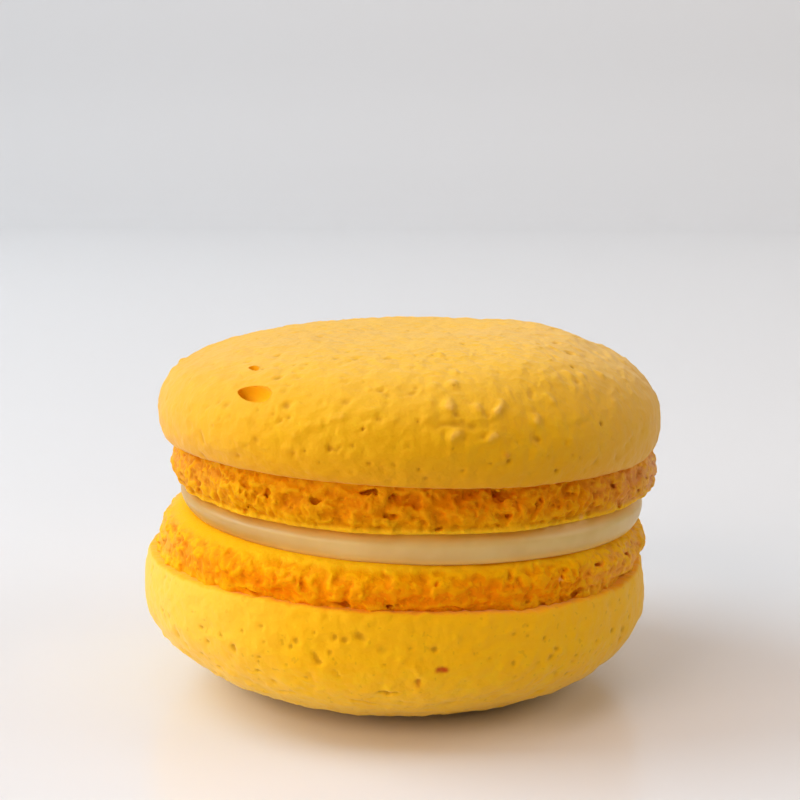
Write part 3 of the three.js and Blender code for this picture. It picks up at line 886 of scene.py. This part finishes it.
def make_ganache():
    share = np.linspace(0, 1, GANACHE_ROWS)
    edge = GANACHE["radius"] + (GANACHE["top_radius"] - GANACHE["radius"]) * share
    edge = edge + GANACHE["bulge"] * np.sin(math.pi * share) ** GANACHE["bulge_power"]
    recess = GANACHE["recess"] * smoothstep(share, *GANACHE["recess_from"]) ** GANACHE["recess_power"]
    height = -PRESSED_IN + (GANACHE["thickness"] + 2 * PRESSED_IN) * share
    edge = np.concatenate([[GANACHE["inner_ring"] * edge[0]], edge, [GANACHE["inner_ring"] * edge[-1]]])
    height = np.concatenate([[height[0]], height, [height[-1]]])
    share = np.concatenate([[0], share, [1]])
    recess = np.concatenate([[0], recess, [0]])
    bearing = np.linspace(0, 2 * math.pi, GANACHE_COLUMNS, endpoint=False)
    turn = (np.degrees(bearing) + 270) % 360 - 180
    inward = np.interp(turn, DRAWN_IN["turns"], DRAWN_IN["depths"])
    radius = edge[:, None] + waves(GANACHE_LOBES, bearing) - (1 - share[:, None]) * inward
    radius = radius - recess[:, None] * np.interp(turn, SHADED["turns"], SHADED["recess"])
    x, y = radius * np.cos(bearing), radius * np.sin(bearing)
    wedge = math.tan(math.radians(LEAN - UPPER_LEAN))
    z = height[:, None] * (1 + x * wedge / GANACHE["thickness"])
    points = np.stack([x, y, z], axis=-1).reshape(-1, 3)
    grain = Grain(5)
    ripple = sum(height * grain(points + 30, wavelength) for wavelength, height in RIPPLES)
    outward = points * [1, 1, 0] / np.hypot(points[:, 0], points[:, 1])[:, None]
    points = points + outward * ripple[:, None]
    points = np.concatenate([points, [(0, 0, height[0]), (0, 0, height[-1])]])
    seat = lower_seat @ Matrix.Translation((GANACHE["offset"], 0, 0))
    attributes = {
        "up": np.append(np.repeat(share, GANACHE_COLUMNS), (0, 1)),
        "painted_shade_left": np.append(np.tile(np.interp(turn, SHADED["turns"], SHADED["painted_shade_left"]), len(edge)), (0, 0)),
    }
    return new_mesh("ganache", placed(points, seat), ring_faces([GANACHE_COLUMNS] * len(edge)), attributes)


ganache = make_ganache()
cream = Finish(
    "white_ganache",
    Roughness=0.35,
    IOR=1.4,
    Subsurface_Weight=0.4,
    Subsurface_Radius=(1.0, 0.7, 0.35),
    Subsurface_Scale=1.2 * MM,
)
streaks = cream.between(cream.cloud(3.0, 2.0), 0.3, 0.7)
colour = cream.mix(streaks, srgb(222, 188, 114), srgb(229, 198, 126))
# Painted shade: darker on the left, where it lies further in under the upper foot.
colour = cream.mix(cream.stored("painted_shade_left"), colour, srgb(195, 161, 95))
# Painted shade under the upper foot, tinted yellow like the light that the crumb throws onto it.
colour = cream.mix(cream.between(cream.stored("up"), 0.7, 0.98) * 0.8, colour, srgb(230, 168, 8))
# Painted light: a paler glow along its lower edge, by the lower foot.
colour = cream.mix((1 - cream.between(cream.stored("up"), 0.03, 0.25)) * 0.6, colour, srgb(250, 205, 110))
cream.feed("Base Color", colour)
cream.feed("Normal", cream.raise_by(cream.cloud(0.8, 2.0), 0.02))
ganache.data.materials.append(cream.material)
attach(ganache, "root")
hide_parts("filling")


# ==== The upper foot ==================================================================================
# The crumb of the second shell. It stands on the ganache as it stood on its tray, with its thin lacy edge
# down, and bulges a little further on the right.

UPPER = Shell(
    lower_seat @ Matrix.Translation((UPPER_OFFSET, 0, GANACHE["thickness"])) @ turned(UPPER_LEAN - LEAN, "Y"),
    front=-90,
    radius=23.0,
    lip=22.05,
    lift_turns=(-160, -90, -35, -10, 20, 45, 90, 140),
    lift=(0.2, 0.35, 0.5, 0.45, 0.2, 0.0, 0.0, 0.1),
    ragged=0.04,
    dome=7.2,
    tuck=2.6,
    shoulder=4.0,
    crown=2.07,
    slant=1.6,
    foot=3.8,
    side_turns=(0,),
    base=(20.9,),
    belly=(0.85,),
    neck=(21.4,),
    skirt=0.25,
    sideways=0.45,
    softer=1.0,
    # painted sheen: at these turns the skin is painted a paler yellow, by these shares
    painted_sheen_turns=(-110, -75, -30, 35, 70, 100, 130),
    painted_sheen=(0, 0.5, 0, 0, 0.6, 0.4, 0),
    wrinkled_turns=(-110, -60, -30, 5, 30, 60, 110, 150),
    wrinkled=(0.7, 0.7, 0.3, 0.5, 1.2, 1.2, 1, 0.3),
    seed=3,
)
UPPER_CRUMBS = {
    "swells": [((2.6, 4.0, 1.7), 0.42), ((1.2, 1.8, 0.9), 0.26)],
    "lumps": [((1.8, 1.8, 1.3), 1.1, 0.27, 0.14), (0.8, 0.52, 0.13, 0.14)],
    "bowls": [(1.25, 0.75, 0.20, 0.14), (0.52, 0.35, 0.15, 0.28)],
    # painted sheen: the ends are painted a paler crumb colour, at these turns and shares
    "painted_sheen_turns": (-120, -90, -60, -40, 42, 60, 75, 100, 130),
    "painted_sheen": (0, 0.4, 0.1, 0, 0, 0.3, 0.9, 0.9, 0),
    "pale": [(43, 0.4, 0.45, 1.0)],
    "moist_turns": (-100, -60, -25, 0, 30, 90),
    "moist": (0, 0, 0.5, 1, 1, 0.5),
    "flaky_turns": (-120, -95, -40, -28, 5, 30, 80, 130),
    "flaky": (0, 1.2, 1.1, 0, 0, 1.2, 0.7, 0),
    "edge_turns": (0,),
    "edge_levels": ((-0.4,), (0.5,)),
    "edge_round": (0.25,),
}
UPPER_POCKETS = [
    (-33, 2.5, 0.4, 0.40, 0.3), (-21, 2.4, 0.35, 0.50, 0.3), (-9, 3.3, 1.1, 0.5, 1.0),
    (-1, 3.1, 1.7, 0.5, 0.9), (-5, 1.5, 0.5, 0.28, 0.6), (13, 3.9, 2.4, 0.25, 0.8),
    (20, 3.3, 0.8, 0.45, 1.1), (19, 1.6, 1.1, 0.35, 1.0), (28, 2.6, 0.6, 0.4, 1.0),
    (38, 2.7, 0.5, 0.6, 1.3), (42, 1.6, 0.6, 0.3, 0.9), (52, 2.6, 0.7, 0.35, 1.1),
    (63, 1.7, 0.6, 0.35, 0.9), (33, 3.9, 2.5, 0.25, 0.7), (46, 3.3, 0.8, 0.25, 0.6),
]
upper_foot = make_foot("upper_foot", UPPER, UPPER_CRUMBS, UPPER_POCKETS)
upper_crumb = crumb_finish(
    "upper_crumb",
    plain=srgb(224, 150, 0),
    ridge_painted_light=srgb(240, 176, 16),
    # the colour of the painted shade in pockets and pits
    pocket=srgb(194, 100, 0),
    # the base edge's colour, partly painted light
    edge=srgb(255, 198, 36),
    fold_painted_light=srgb(248, 176, 14),
    wet=srgb(230, 138, 0),
    # the colour of the painted sheen
    painted_sheen_colour=srgb(242, 184, 126),
)
upper_foot.data.materials.append(upper_crumb.material)
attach(upper_foot, "root")
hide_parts("upper_shell")


# ==== The upper cap ===================================================================================
# The skin of the second shell, as it was baked. The piped batter's settled peak leaves a low step on the
# crown. Some bubbles stayed under the skin as blisters, and two burst and left open holes.

# The step is short and clear at the back on the left, and fades into a slow slope elsewhere. The crown is
# fuller on the right.
STEP = {"radius": 15.7, "rise": 0.55, "clear_at": 124, "clear_over": 35, "clear_half": 0.3, "soft_half": 2.0}
STEP_ENDS = (4, 26)  # on the left it fades out between these angles
STEP_BEGINS = (-180, -135)  # and on the right, towards the front, between these
FULLER = {"rise": 0.28, "from": 3.0, "to": 12.0}
SETTLED = {"x": 1.0, "y": 4.0, "radius": 9.0, "by": 0.32}  # a shallow sag a little behind the middle


def upper_crown_rise(points):
    radius = np.hypot(points[:, 0], points[:, 1])
    away = np.degrees(np.arctan2(points[:, 1], points[:, 0])) - STEP["clear_at"]
    away = (away + 180) % 360 - 180
    faded = (1 - smoothstep(away, *STEP_ENDS)) * smoothstep(away, *STEP_BEGINS)
    softer = smoothstep(np.abs(away), 0, STEP["clear_over"])
    half = STEP["clear_half"] + (STEP["soft_half"] - STEP["clear_half"]) * softer
    step = faded * STEP["rise"] * smoothstep(radius, STEP["radius"] - half, STEP["radius"] + half)
    slant = points[:, 0] * math.tan(math.radians(UPPER.slant))
    fuller = FULLER["rise"] * smoothstep(points[:, 0], FULLER["from"], FULLER["to"])
    from_sag = np.hypot(points[:, 0] - SETTLED["x"], points[:, 1] - SETTLED["y"])
    sag = SETTLED["by"] * round_bump(from_sag, SETTLED["radius"])
    return (slant + fuller - step - sag) * crown_share(UPPER, points)


UPPER_DENTS = [
    # soft dents on the shoulder
    (-27.5, 7.0, 0.50, 0.16), (-26, 6.0, 0.40, 0.12), (-30, 6.0, 0.35, 0.12), (-34.5, 6.1, 0.30, 0.08),
    (-30.5, 8.5, 0.60, 0.09), (-41.5, 5.3, 0.35, 0.08), (-44, 4.8, 0.28, 0.10), (-37, 4.9, 0.30, 0.08),
    (-14.5, 7.9, 0.55, 0.09), (-12, 10.7, 0.35, 0.09), (-18, 11.1, 0.35, 0.08), (-33, 13.2, 0.40, 0.10),
    (-38, 15.0, 0.45, 0.10), (-27, 15.3, 0.45, 0.09), (-5.5, 9.0, 0.45, 0.09), (1, 10.1, 0.40, 0.09),
    (-6.5, 6.4, 0.50, 0.10), (16.5, 6.8, 0.45, 0.12), (9.5, 7.0, 0.40, 0.12), (45, 9.1, 0.45, 0.12),
    (72, 8.6, 0.60, 0.10),
    # darker dents on the wall
    (-16, 3.7, 0.30, 0.14), (-14, 3.9, 0.28, 0.12), (-11.5, 4.1, 0.28, 0.12), (-8, 2.6, 0.34, 0.16),
    (-3, 2.6, 0.30, 0.12), (-11.5, 1.7, 0.35, 0.12), (-0.5, 4.3, 0.35, 0.12), (10.5, 2.1, 0.30, 0.12),
    (22, 4.3, 0.25, 0.12), (27, 4.5, 0.30, 0.12), (29.5, 3.0, 0.25, 0.11), (36, 2.9, 0.30, 0.10),
    (-24, 3.1, 0.35, 0.09), (-31, 3.4, 0.30, 0.10), (-35, 3.0, 0.32, 0.09),
    # pinholes
    (-9.5, 5.5, 0.24, 0.20), (1.5, 6.3, 0.22, 0.16), (-45.5, 4.1, 0.22, 0.18), (45.5, 5.1, 0.24, 0.20),
    (32, 1.6, 0.25, 0.20), (38, 2.6, 0.22, 0.18), (20, 3.0, 0.30, 0.22), (2, 2.2, 0.24, 0.16),
]
UPPER_STROKES = [
    # blisters, round and drawn out
    (8, 7.6, 8.2, 7.8, 0.83, 0.30), (14.3, 7.5, 14.6, 7.5, 0.75, 0.28),
    (17.5, 6.6, 18.8, 7.1, 0.57, 0.20), (19.0, 7.1, 20.3, 7.8, 0.55, 0.20),
    (27.5, 5.9, 28.0, 6.2, 0.75, 0.25), (8.2, 5.0, 9.2, 5.1, 0.61, 0.25),
    (8.1, 4.5, 8.0, 3.5, 0.46, 0.11), (17.3, 5.0, 15.8, 4.7, 0.53, 0.20),
    (14.5, 4.5, 12, 4.3, 0.46, 0.11), (10, 10.2, 10, 10.5, 0.66, 0.21),
    (12, 12.4, 12, 12.7, 0.61, 0.18), (11, 16.3, 11, 16.8, 0.66, 0.15),
    (4.5, 10.0, 5.5, 10.3, 0.72, 0.15), (19.3, 3.7, 19.6, 3.6, 0.37, 0.18),
    (45, 9.9, 45, 10.2, 0.61, 0.20), (49, 9.6, 49.5, 9.8, 0.53, 0.15), (57, 9.4, 57, 9.7, 0.61, 0.18),
    (33, 8.2, 34, 7.6, 0.55, 0.14), (-29.7, 3.1, -29.7, 3.0, 0.29, 0.11),
    (-97, 6.9, -94, 7.2, 0.66, 0.28),
    # soft bumps where the shoulder turns down
    (-22, 5.4, -19, 5.5, 0.80, 0.15), (-16, 6.2, -14.5, 6.3, 0.80, 0.17),
    (-10, 6.9, -8.5, 7.0, 0.75, 0.15), (-26, 4.6, -24, 4.4, 0.70, 0.12),
    # creases
    (5.5, 5.8, 8.5, 6.1, 0.60, -0.09), (8.5, 6.1, 12.5, 5.9, 0.75, -0.12),
    (12.5, 5.9, 16, 5.8, 0.60, -0.09), (35.5, 5.1, 38.5, 5.4, 0.55, -0.08),
    (38.5, 5.4, 42, 5.6, 0.42, -0.10), (-49.5, 3.4, -48.5, 2.3, 0.32, -0.13),
    (-16.2, 3.9, -14.5, 3.6, 0.32, -0.13), (-49.2, 10.2, -45.2, 8.9, 0.16, -0.10),
]
# Burst bubbles: turn, reach, half width, half height and depth of the hollow, and the degrees that its width
# and its height lean.
BURSTS = [(-37.9, 7.85, 1.67, 1.06, 1.1, 10.4, 37), (-47.8, 11.15, 0.56, 0.66, 0.8, 18.4, 52)]
BURST_TOP = 0.7  # the upper edge of an opening is flatter than the lower one
BURST_TAPER = 0.12  # and its left end is narrower by this share
BURST_FULL = 0.95  # power of its outline: below 1 it is fuller than an ellipse
BURST_SINK = 0.3  # the hollow's middle lies this share of its depth under the skin,
BURST_WIDER = 1.06  # so it is this much wider there, to have its full size in the skin
BURST_ROWS = 15
BURST_COLUMNS = 48


def burst_hollow(shell, skin, turn, reach, wide, high, deep, slope, lean):
    """The rounded hollow that a burst bubble leaves in the skin, whose corners are given."""
    middle = shell.on_skin(turn, reach)
    along = shell.on_skin(turn, reach + 0.2) - shell.on_skin(turn, reach - 0.2)
    along /= np.linalg.norm(along)
    over = shell.on_skin(turn + 1, reach) - middle
    over /= np.linalg.norm(over)
    out = np.cross(along, over)
    out *= np.sign(out @ middle)
    slope, lean = math.radians(slope), math.radians(lean)
    level = over * math.cos(slope) + along * math.sin(slope)
    upward = along * math.cos(lean) - over * math.sin(lean)
    tilt = np.linspace(0, math.pi, BURST_ROWS + 2)[1:-1, None]
    spin = np.linspace(0, 2 * math.pi, BURST_COLUMNS, endpoint=False)
    rise = np.sin(spin)
    ends = np.sign(rise) * np.abs(rise) ** BURST_FULL * np.where(rise > 0, BURST_TOP, 1.0)
    ends = ends * (1 + BURST_TAPER * np.cos(spin))
    flat = np.sin(tilt) * BURST_WIDER
    points = (
        (flat * wide * np.cos(spin))[..., None] * level
        + (flat * high * 2 / (1 + BURST_TOP) * ends)[..., None] * upward
        - (np.cos(tilt) * deep * np.ones_like(spin))[..., None] * out
    ).reshape(-1, 3)
    points = np.concatenate([points, [-out * deep, out * deep]])
    nearest = np.argmin(np.linalg.norm(plain_cap(shell)[0] - middle, axis=1))
    points = placed(points - out * deep * BURST_SINK, shell.seat) + skin[nearest]
    points -= placed(np.zeros(3), shell.seat)
    faces = ring_faces([BURST_COLUMNS] * BURST_ROWS)
    cutter = new_mesh("hollow", points, faces, {"burst": np.ones(len(points))})
    if signed_volume(cutter.data) < 0:
        cutter.data.flip_normals()
    return cutter


def signed_volume(mesh):
    mesh.calc_loop_triangles()
    corners = np.array([vertex.co[:] for vertex in mesh.vertices])
    a, b, c = (corners[[triangle.vertices[i] for triangle in mesh.loop_triangles]] for i in range(3))
    return float(np.einsum("ij,ij->", a, np.cross(b, c)))


UPPER_STAINS = [(19.3, 3.7, 19.8, 3.5, 0.32, 0.35)]
upper_cap = make_cap("upper_cap", UPPER, UPPER_DENTS, UPPER_STROKES, UPPER_STAINS, upper_crown_rise)
skin_corners = np.array([vertex.co[:] for vertex in upper_cap.data.vertices]) / MM
for burst in BURSTS:
    cutter = burst_hollow(UPPER, skin_corners, *burst)
    cut = upper_cap.modifiers.new("burst", "BOOLEAN")
    cut.operation = "DIFFERENCE"
    cut.solver = "MANIFOLD"
    cut.object = cutter
    depsgraph = bpy.context.evaluated_depsgraph_get()
    opened = bpy.data.meshes.new_from_object(upper_cap.evaluated_get(depsgraph))
    upper_cap.modifiers.clear()
    upper_cap.data = opened
    bpy.data.objects.remove(cutter)
upper_cap.data.set_sharp_from_angle(angle=math.radians(50))  # only the rims of the openings are sharp

upper_skin = skin_finish(
    "upper_skin",
    plain=srgb(236, 177, 5),
    bright=srgb(242, 190, 14),
    golden=srgb(232, 168, 3),
    # the rim's colour, partly painted shade
    rim=srgb(230, 162, 6),
    # the lip's colour, painted shade against its sheen
    lip=srgb(236, 150, 0),
    # the colour of the painted shade in hollows, also used for the dark specks
    hollow=srgb(192, 128, 2),
    # the crown's paler colour, partly painted sheen
    crown=srgb(245, 190, 56),
    # the colour of the painted sheen
    painted_sheen=srgb(239, 188, 88),
    painted_blister_highlight=srgb(252, 200, 96),
    speckled=0.12,
)
upper_cap.data.materials.clear()
upper_cap.data.materials.append(upper_skin.material)
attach(upper_cap, "root")
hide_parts("upper_shell")


# ==== The table, the light and the camera =============================================================
# A pale table that curves up into a plain backdrop. The light is that of a window high on the left, with
# warmer and weaker light from the room in front, above and on the right.

TABLE = {"half": 0.9, "back": 0.55, "bend": 0.25, "bend_steps": 24, "height": 0.9}  # in metres


def make_table():
    turn = np.linspace(0, math.pi / 2, TABLE["bend_steps"])
    bend = np.stack(
        [TABLE["back"] + TABLE["bend"] * np.sin(turn), TABLE["bend"] * (1 - np.cos(turn))], axis=1
    )
    line = np.concatenate([[(-TABLE["half"], 0)], bend, [(bend[-1, 0], TABLE["height"])]])
    left = np.stack([np.full(len(line), -TABLE["half"]), line[:, 0], line[:, 1]], axis=1)
    right = left * [-1, 1, 1]
    count = np.arange(len(line) - 1)
    faces = np.stack([count, count + len(line), count + len(line) + 1, count + 1], axis=1)
    return new_mesh("table", np.concatenate([left, right]) / MM, [faces])


table = make_table()
pale = Finish("pale_table", Roughness=0.25, IOR=1.5)
pale.shader.inputs["Base Color"].default_value = srgb(234, 234, 235)
table.data.materials.append(pale.material)


def soft_light(name, place, size, power, colour=(1, 1, 1), aim=(0, 0, 0.016)):
    light = bpy.data.lights.new(name, "AREA")
    light.shape = "RECTANGLE"
    light.size, light.size_y = size
    light.energy = power
    light.color = colour
    lamp = bpy.data.objects.new(name, light)
    lamp.location = place
    lamp.rotation_euler = (Vector(aim) - Vector(place)).to_track_quat("-Z", "Y").to_euler()
    bpy.context.scene.collection.objects.link(lamp)


soft_light("left", (-0.6, 0.1, 0.6), (0.6, 0.6), 5.45, colour=(0.75, 0.89, 1.0))
soft_light("left_side", (-0.7, 0, 0.3), (0.5, 0.4), 0.56)
soft_light("front_left", (-0.5, -0.5, 0.35), (0.5, 0.5), 3.6, colour=(1.0, 0.81, 0.69))
soft_light("overhead", (0, 0, 0.8), (0.7, 0.7), 2.1, colour=(1.0, 0.88, 0.82))
soft_light("right", (0.7, 0, 0.4), (0.5, 0.5), 2.1, colour=(1.0, 0.92, 0.83))
soft_light("backdrop", (0.42, 0.3, 0.5), (0.6, 0.2), 0.8, aim=(0.42, 0.8, 0.35))
world = bpy.data.worlds.new("room")
world.use_nodes = True
world.node_tree.nodes["Background"].inputs["Strength"].default_value = 0.0
bpy.context.scene.world = world

CAMERA = {"target": (-0.2, 0, 25.64), "elevation": 10.29, "distance": 150.2, "roll": 0.4}
FOCAL_PIXELS = 1626
PICTURE_PIXELS = 800
camera_data = bpy.data.cameras.new("camera")
camera_data.sensor_width = 36.0
camera_data.lens = FOCAL_PIXELS * camera_data.sensor_width / PICTURE_PIXELS
camera_data.clip_start = 0.01
camera = bpy.data.objects.new("camera", camera_data)
tilt = math.radians(CAMERA["elevation"])
back = Vector((0, -math.cos(tilt), math.sin(tilt)))
camera.location = (Vector(CAMERA["target"]) + back * CAMERA["distance"]) * MM
look = (-back).to_track_quat("-Z", "Y").to_matrix().to_4x4()
camera.rotation_euler = (look @ turned(CAMERA["roll"], "Z")).to_euler()
bpy.context.scene.collection.objects.link(camera)
bpy.context.scene.camera = camera
bpy.context.scene.view_settings.view_transform = "Standard"
